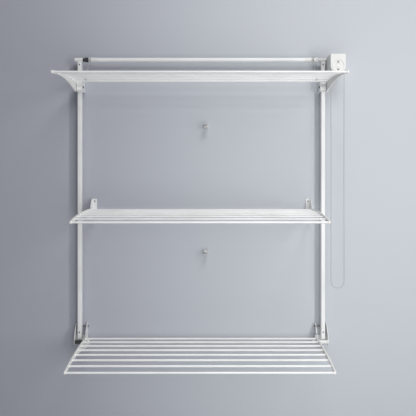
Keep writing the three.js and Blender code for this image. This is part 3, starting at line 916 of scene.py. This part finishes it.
BUSH_SHOULDER = -0.5665
low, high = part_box("left_idler_bush")
bush = [(high.x, 5.3), (high.x, 9.5), (high.x - 1.5 * MM, 11.3), (high.x - 8 * MM, 11.5),
        (high.x - 12 * MM, 10.9), (BUSH_SHOULDER, 7.5), (BUSH_SHOULDER, 6.5), (low.x, 6.5),
        (low.x, 5.3), (high.x, 5.3)]
piece("left_taper_bush", [lathe([(x, r * MM) for x, r in bush], "X", ROLLER, 36)], black, "wall_frame",
      ["left_idler_bush"])
print("post heads and bush done")

# %% Drive coupling
COUPLING_X = 0.549
GEAR_START, GEAR_END = 0.607, 0.617
low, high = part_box("winch_drive_shaft")
collar_end = COUPLING_X + 8 * MM
shaft = [(low.x, 0), (low.x, 6.4 * MM), (low.x + 0.6 * MM, 7 * MM), (collar_end, 7 * MM),
         (collar_end, 5 * MM), (GEAR_START, 5 * MM), (GEAR_START, 8.3 * MM), (GEAR_END, 8.3 * MM),
         (GEAR_END, 0)]
half_hub = [(8.6 * MM, 10 * MM), (10 * MM, 8.6 * MM), (10 * MM, 0)]
hub = [(-a, r) for a, r in reversed(half_hub)] + half_hub
coupling = ROLLER + Vector((COUPLING_X, 0, 0))
piece("drive_coupling", [lathe(shaft, "X", ROLLER, 32), lathe(hub, "Y", coupling, 36)],
      plastic, "roller", ["winch_drive_shaft"])
print("coupling at x =", COUPLING_X)

# %% [markdown]
# ## Lifting cords
#
# A taut cord runs from each drum to the second rod. It crosses the shelf's
# joint, and is not attached to any body. One turn of cord lies on the drum,
# and one round the rod, on each side of the taut length.

# %% Cords, their turns on the drums and their ties
LIFT_RADIUS = 1.25 * MM
ROD_RADIUS = 4.5 * MM
BESIDE = 2.7 * MM


def cord_ring(x, middle, radius):
    """One turn of cord about a line along X."""
    steps = 10
    profile = [(x + LIFT_RADIUS * math.cos(a), radius + LIFT_RADIUS * math.sin(a))
               for a in (2 * math.pi * k / steps for k in range(steps + 1))]
    return lathe(profile, "X", (0, middle.y, middle.z), 28)


tied_rod = rod_centres("top")[1]
for side, sign in SIDES.items():
    node = f"{side}_lifting_cord"
    low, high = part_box(node)
    x = (low.x + high.x) / 2
    start = Vector((x, high.y - LIFT_RADIUS, ROLLER.z))
    end = Vector((x, tied_rod.y + 1 * MM, tied_rod.z + ROD_RADIUS + LIFT_RADIUS + GAP))
    line = [start.lerp(end, i / 24) for i in range(25)]
    taut = piece(f"{side}_taut_cord", [sweep(line, LIFT_RADIUS, 14)], cord_yarn, None,
                 [node])
    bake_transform(taut)
    places = (x - BESIDE, x + BESIDE)
    turns = [cord_ring(at, ROLLER, DRUM_SEAT * MM + LIFT_RADIUS) for at in places]
    piece(f"{side}_drum_turns", turns, cord_yarn, "roller")
    ties = [cord_ring(at, tied_rod, ROD_RADIUS + LIFT_RADIUS) for at in places]
    piece(f"{side}_rod_tie", ties, cord_yarn, "top_shelf")
print("taut cord length, mm:", round((end - start).length / MM, 1))

# %% [markdown]
# ## Winch
#
# The winch is a flat-topped case with a half-round foot. Inside are a
# grooved cord wheel moulded in one with its worm, and a countershaft that
# the worm turns. The cover carries a raised ring over the wheel and a pair
# of small arrows, one up and one down, as winches of this sort do.

# %% Case and cover
low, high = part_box("winch_housing")
case_x = (low.x + high.x) / 2
CASE_HALF = (high.x - low.x) / 2
CASE_WALL = 2 * MM


def tombstone(half, top, steps=28):
    """Flat top, straight sides, half-round foot, as (x, z) points."""
    foot = arc((case_x, WHEEL.z), half, 180, 360, steps)
    return [(case_x - half, top), *foot, (case_x + half, top)]


outer = rounded(slab(tombstone(CASE_HALF, high.z), low.y, high.y, across="Y"), 2.5 * MM, 4)
cavity = slab(tombstone(CASE_HALF - CASE_WALL, high.z - CASE_WALL),
              low.y - MM, high.y - 2 * CASE_WALL, across="Y")
shaft_hole = bore_x(6 * MM, low.x - MM, case_x, ROLLER.y, ROLLER.z)
SLOT_HALF = 4 * MM
slots = [block((x - SLOT_HALF, WHEEL.y - SLOT_HALF, low.z - MM),
               (x + SLOT_HALF, WHEEL.y + SLOT_HALF, WHEEL.z - SLOT_HALF))
         for x in (case_x - LOOP_HALF, case_x + LOOP_HALF)]
piece("winch_case", [carve(outer, cavity, shaft_hole, *slots)], plastic, "wall_frame",
      ["winch_housing"], sharp=30)

low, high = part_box("winch_cover")
face = low.y
SUNK = 0.3 * MM
plate = rounded(slab(tombstone(CASE_HALF - 1 * MM, high.z), low.y, high.y, across="Y"), 1.4 * MM, 4)


def raised_ring(radius, width, height):
    """A ring with chamfered edges, sunk a little into the cover."""
    profile = [(face + SUNK, radius - width), (face - height * 0.6, radius - width),
               (face - height, radius - width * 0.7), (face - height, radius - width * 0.3),
               (face - height * 0.6, radius), (face + SUNK, radius)]
    return lathe(profile, "Y", (case_x, 0, WHEEL.z), 56)


def arrow(z, size):
    """A small raised triangle that points up or down."""
    outline = [(case_x - abs(size), z), (case_x + abs(size), z), (case_x, z + size * 1.3)]
    return rounded(slab(outline, face - 0.9 * MM, face + SUNK, across="Y"), 0.35 * MM)


hub = lathe([(face + SUNK, 7.5 * MM), (face - 1.2 * MM, 7.2 * MM), (face - 1.6 * MM, 6.4 * MM),
             (face - 1.6 * MM, 0)], "Y", (case_x, 0, WHEEL.z), 40)
rings = [raised_ring(29 * MM, 2.6 * MM, 2.2 * MM), raised_ring(12.5 * MM, 2 * MM, 1.6 * MM)]
piece("winch_cover_plate", [plate, *rings, hub], plastic, "wall_frame", ["winch_cover"],
      sharp=30)
arrows = [arrow(WHEEL.z + way * 15 * MM, way * 6 * MM) for way in (1, -1)]
piece("winch_cover_arrows", arrows, black, "wall_frame")
print("case half width, mm:", round(CASE_HALF / MM, 1))

# %% Cord wheel and countershaft
def wheel_rim(towards_wall):
    """Half of the grooved rim, from the groove's bottom to the hub."""
    steps = [(2, 26), (3.2, 32), (4, 33), (5.5, 33), (6, 32), (6, 5)]
    return [(WHEEL.y + towards_wall * a * MM, r) for a, r in steps]


worm = [(-8, 0), (-8, 5), (-14, 5), (-18, 14), (-19, 15), (-51, 15), (-52, 14), (-56, 5)]
end = WHEEL.y - 9 * MM
wheel_steps = [(y * MM, r) for y, r in worm] + wheel_rim(1)[::-1] + wheel_rim(-1) + [(end, 5), (end, 0)]
piece("cord_wheel_and_worm", [lathe([(y, r * MM) for y, r in wheel_steps], "Y", (WHEEL.x, 0, WHEEL.z), 48)],
      plastic, "cord_wheel", ["winch_cord_wheel"])
counter = nodes["winch_countershaft"]
counter.data.materials.clear()
counter.data.materials.append(plastic)
print("wheel flange radius, mm:", max(r for _, r in wheel_steps))

# %% [markdown]
# ## Wall hooks
#
# When the lower two shelves are folded up, a small clip on the wall takes
# the front rod of each. Two jaws stand out from a plate, and their lips are
# rounded so that the rod slips in.

# %% Hooks
HOOK_MOUTH = 5 * MM
HOOK_PLATE = 4 * MM

for shelf in ("bottom", "mid"):
    node = f"{shelf}_shelf_wall_hook"
    low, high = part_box(node)
    lip = low.y
    middle = (low.z + high.z) / 2
    under, over = middle - HOOK_MOUTH, middle + HOOK_MOUTH
    outline = [(0, low.z), (lip + 2 * MM, low.z + 1.7 * MM), (lip, low.z + 2.6 * MM),
               (lip, under - 1 * MM), (lip + 1 * MM, under), (-HOOK_PLATE, under),
               (-HOOK_PLATE, over), (lip + 1 * MM, over), (lip, over + 1 * MM),
               (lip, high.z - 2.6 * MM), (lip + 2 * MM, high.z - 1.7 * MM), (0, high.z)]
    piece(f"{shelf}_rod_clip", [rounded(slab(outline, low.x, high.x), 1 * MM)], plastic, "wall_frame",
          [node])
print("hook mouth, mm:", 2 * HOOK_MOUTH / MM)

# %% [markdown]
# ## Screws and bolts
#
# Small fixings say how the rack is held together: pan-head screws in the
# posts and wall plates, a bolt across each foot behind the post, and the
# dark end of the pivot bolt beside each top block. A cross-shaped recess is
# cut in every pan head.

# %% Fixings
POST_SCREW_HEIGHTS = (1.322, 0.044)
WALL_SCREW_X, WALL_SCREW_Z = 0.516, 0.668
FOOT_BOLT = (0, -0.0075, 0.065)
BOLT_HEAD_RADIUS = 4.2 * MM
BOLT_RADIUS = 2.5 * MM


def pan_head(x, y, z, radius, height):
    """A pan head facing the front, with a cross recess."""
    profile = [(y + 0.2 * MM, radius), (y - height * 0.45, radius), (y - height * 0.85, radius * 0.8),
               (y - height, radius * 0.5), (y - height, 0), (y + 0.2 * MM, 0)]
    head = lathe(profile, "Y", (x, 0, z), 28)
    long, thin, deep = radius * 0.55, radius * 0.12, height * 0.55
    across = block((x - long, y - 2 * height, z - thin), (x + long, y - height + deep, z + thin))
    upright = block((x - thin, y - 2 * height, z - long), (x + thin, y - height + deep, z + long))
    return carve(head, across, upright)


for side, sign in SIDES.items():
    post_low, post_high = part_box(f"{side}_post")
    middle = (post_low.x + post_high.x) / 2
    screws = [pan_head(middle, post_low.y, z, 3.4 * MM, 1.6 * MM) for z in POST_SCREW_HEIGHTS]
    piece(f"{side}_post_screws", screws, dark_steel, "wall_frame")

    screw = pan_head(sign * WALL_SCREW_X, -SHEET, WALL_SCREW_Z, 5 * MM, 2.6 * MM)
    piece(f"{side}_wall_screw", [screw], zinc, "wall_frame")

    inner, outer = inner_and_outer(f"{side}_bottom_bracket", sign)
    nut_start, nut_end = inner + sign * SHEET, inner + sign * (SHEET + 6 * MM)
    head_end = outer + sign * 2.5 * MM
    bolt = [
        lathe(domed(inner, inner - sign * 5.5 * MM, BOLT_HEAD_RADIUS), "X", FOOT_BOLT, 28),
        lathe([(inner, 0), (inner, BOLT_RADIUS), (outer, BOLT_RADIUS), (outer, 0)], "X", FOOT_BOLT, 20),
        lathe([(nut_start, 2 * MM), (nut_start, BOLT_HEAD_RADIUS), (nut_end, BOLT_HEAD_RADIUS),
               (nut_end, 2 * MM)], "X", FOOT_BOLT, 6),
        lathe([(outer, 0), (outer, BOLT_HEAD_RADIUS), (head_end, 3.8 * MM), (head_end, 0)],
              "X", FOOT_BOLT, 24),
    ]
    piece(f"{side}_foot_bolt", bolt, dark_steel, "wall_frame")

    cheek_face = inner_and_outer(f"{side}_top_bracket", sign)[0]
    pivot = pivots["top_shelf"]
    nut = lathe(domed(cheek_face, cheek_face - sign * 4 * MM, 5.5 * MM), "X", (0, pivot.y, pivot.z), 28)
    piece(f"{side}_top_bolt_end", [nut], dark_steel, "wall_frame")

screw = pan_head(COUPLING_X, ROLLER.y - 10 * MM, ROLLER.z, 4 * MM, 1.8 * MM)
piece("coupling_screw", [screw], zinc, "roller")
print("fixings:", 5 * len(SIDES) + 1)

# %% [markdown]
# ## Studio
#
# A pale blue-grey wall stands just behind the rack, with a floor well
# below it. The wall is drawn only from its front, so the rack can still be
# looked at from behind. Its colour is painted darker towards the left, as
# painted shade, on top of the real fall-off from the main light. That light
# is close, to the right and in front, and lets every tube lay a soft shadow
# beside it. It is tall and narrow, so upright shadows stay clear and level
# ones melt away. A softbox overhead brightens the tops of the rods without
# reaching the wall much.

# %% Wall, floor and lights
def stage_plane(name, corners, roughness):
    mesh = bpy.data.meshes.new(name)
    mesh.from_pydata(corners, [], [(0, 1, 2, 3)])
    made = bpy.data.objects.new(name, mesh)
    bpy.context.scene.collection.objects.link(made)
    material = bpy.data.materials.new(name)
    material.use_nodes = True
    material.node_tree.nodes["Principled BSDF"].inputs["Roughness"].default_value = roughness
    mesh.materials.append(material)
    return made


def paint_shade_across(plane, left_colour, right_colour):
    """Blends a plane's colour from left to right; on the wall this paints shade towards the left."""
    tree = plane.active_material.node_tree
    place = tree.nodes.new("ShaderNodeTexCoord")
    split = tree.nodes.new("ShaderNodeSeparateXYZ")
    across = tree.nodes.new("ShaderNodeMapRange")
    across.interpolation_type = "SMOOTHSTEP"
    across.inputs["From Min"].default_value = -1.0
    across.inputs["From Max"].default_value = 0.5
    fade = tree.nodes.new("ShaderNodeMix")
    fade.data_type = "RGBA"
    fade.inputs["A"].default_value = (*left_colour, 1)
    fade.inputs["B"].default_value = (*right_colour, 1)
    tree.links.new(place.outputs["Object"], split.inputs["Vector"])
    tree.links.new(split.outputs["X"], across.inputs["Value"])
    tree.links.new(across.outputs["Result"], fade.inputs["Factor"])
    tree.links.new(fade.outputs["Result"], tree.nodes["Principled BSDF"].inputs["Base Color"])


def clear_from_behind(plane):
    tree = plane.active_material.node_tree
    clear = tree.nodes.new("ShaderNodeBsdfTransparent")
    mix = tree.nodes.new("ShaderNodeMixShader")
    facing = tree.nodes.new("ShaderNodeNewGeometry")
    tree.links.new(facing.outputs["Backfacing"], mix.inputs["Fac"])
    tree.links.new(tree.nodes["Principled BSDF"].outputs["BSDF"], mix.inputs[1])
    tree.links.new(clear.outputs["BSDF"], mix.inputs[2])
    tree.links.new(mix.outputs["Shader"], tree.nodes["Material Output"].inputs["Surface"])


# The wall's left colour is darker than its right as painted shade, standing for the light's fall-off.
WALL_LEFT_PAINTED_SHADE = (0.415, 0.425, 0.485)
WALL_RIGHT = (0.535, 0.562, 0.60)
FLOOR = -0.45
BEHIND = 0.002
wall = stage_plane("studio_wall", [(-4, BEHIND, FLOOR), (4, BEHIND, FLOOR), (4, BEHIND, 3.2),
                                   (-4, BEHIND, 3.2)], 0.9)
paint_shade_across(wall, WALL_LEFT_PAINTED_SHADE, WALL_RIGHT)
clear_from_behind(wall)
floor = stage_plane("studio_floor", [(-4, -5, FLOOR), (4, -5, FLOOR), (4, BEHIND, FLOOR),
                                     (-4, BEHIND, FLOOR)], 0.8)
floor_shader = floor.active_material.node_tree.nodes["Principled BSDF"]
floor_shader.inputs["Base Color"].default_value = (0.6, 0.6, 0.6, 1)


def area_light(name, place, target, size, watts, colour):
    data = bpy.data.lights.new(name, "AREA")
    data.shape = "RECTANGLE"
    data.size, data.size_y = size
    data.energy = watts
    data.color = colour
    made = bpy.data.objects.new(name, data)
    made.location = place
    made.rotation_euler = (Vector(target) - Vector(place)).to_track_quat("-Z", "Y").to_euler()
    bpy.context.scene.collection.objects.link(made)
    return made


key = area_light("key_light", (1.7, -2.0, 1.05), (0.2, 0, 0.75), (0.35, 2.0),
                 30, (1.0, 0.99, 0.97))
fill = area_light("low_front_fill", (0.3, -2.0, 0.25), (0.1, -0.2, -0.1), (1.2, 0.8),
                  9, (0.96, 0.98, 1.0))
overhead = area_light("overhead_softbox", (0.7, -2.4, 3.5), (0.2, -0.2, 0.3), (1.6, 1.2),
                      54, (1.0, 1.0, 1.0))

world = bpy.data.worlds.new("studio")
world.use_nodes = True
sky = world.node_tree.nodes["Background"]
sky.inputs["Color"].default_value = (0.90, 0.94, 1.0, 1)
sky.inputs["Strength"].default_value = 0.14
bpy.context.scene.world = world
bpy.context.scene.view_settings.view_transform = "Standard"
print("lights:", key.name, fill.name, overhead.name)
